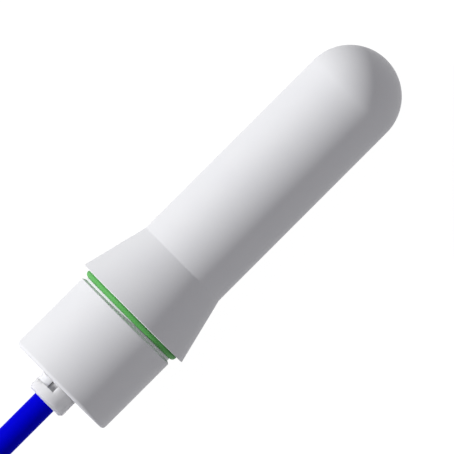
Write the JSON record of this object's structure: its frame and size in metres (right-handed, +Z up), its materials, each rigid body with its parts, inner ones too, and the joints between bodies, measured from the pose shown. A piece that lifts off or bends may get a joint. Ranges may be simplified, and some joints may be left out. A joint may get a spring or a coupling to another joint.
{
  "type": "capacitive sensor",
  "caption": "Smooth round white plastic capacitive level probe with a domed tip, a flare sealed by a green O-ring, a rear cap and a blue cable tied in a hank.",
  "frame": {"origin": "on the surface that the sensor lies on, under the middle of its box without the cable", "axes": "+X the way the round tip points, seen from above; +Z up; the sensor's own axis dips 3.2 degrees towards the tip, because it lies on its flare and its tip"},
  "size_m": [0.3251, 0.0449, 0.0449],
  "materials": {
    "white_plastic": "satin turned white plastic",
    "natural_plastic": "matt moulded plastic",
    "green_rubber": "smooth green rubber",
    "black_rubber": "matt black rubber",
    "blue_sheath": "satin blue cable sheath",
    "brown_insulation": "satin brown core insulation",
    "blue_insulation": "satin blue core insulation",
    "copper": "bright copper sheet",
    "tin_plate": "tinned metal",
    "board_laminate": "green solder resist",
    "chip_resin": "black moulded resin",
    "trimmer_plastic": "blue moulded plastic",
    "capacitor_can": "drawn can",
    "gold_plate": "gold-plated pin"
  },
  "bodies": {
    "root": {"probe_housing": "white_plastic", "flange_o_ring": "green_rubber", "connecting_sleeve": "natural_plastic", "rear_cap": "white_plastic", "gland_collar": "white_plastic", "clamp_insert": "white_plastic", "gland_locknut": "natural_plastic", "cable_seal": "black_rubber", "cable_jacket_end": "blue_sheath", "inner_core_brown": "brown_insulation", "inner_core_blue": "blue_insulation", "sensing_electrode": "copper", "guard_electrode": "copper", "electrode_carrier": "natural_plastic", "electrode_lead": "tin_plate", "guard_lead": "tin_plate", "front_board_ring": "natural_plastic", "rear_board_ring": "natural_plastic", "circuit_board": "board_laminate", "shield_can": "tin_plate", "oscillator_chip": "chip_resin", "output_chip": "chip_resin", "trimmer": "trimmer_plastic", "capacitor": "capacitor_can", "terminal_brown": "gold_plate", "terminal_blue": "gold_plate", "cable_run": "blue_sheath", "cable_hank": "blue_sheath", "cable_tail": "blue_sheath", "hank_tie": "natural_plastic", "tail_core_brown": "brown_insulation", "tail_core_blue": "blue_insulation", "ferrule_brown": "tin_plate", "ferrule_blue": "tin_plate"}
  },
  "joints": []
}
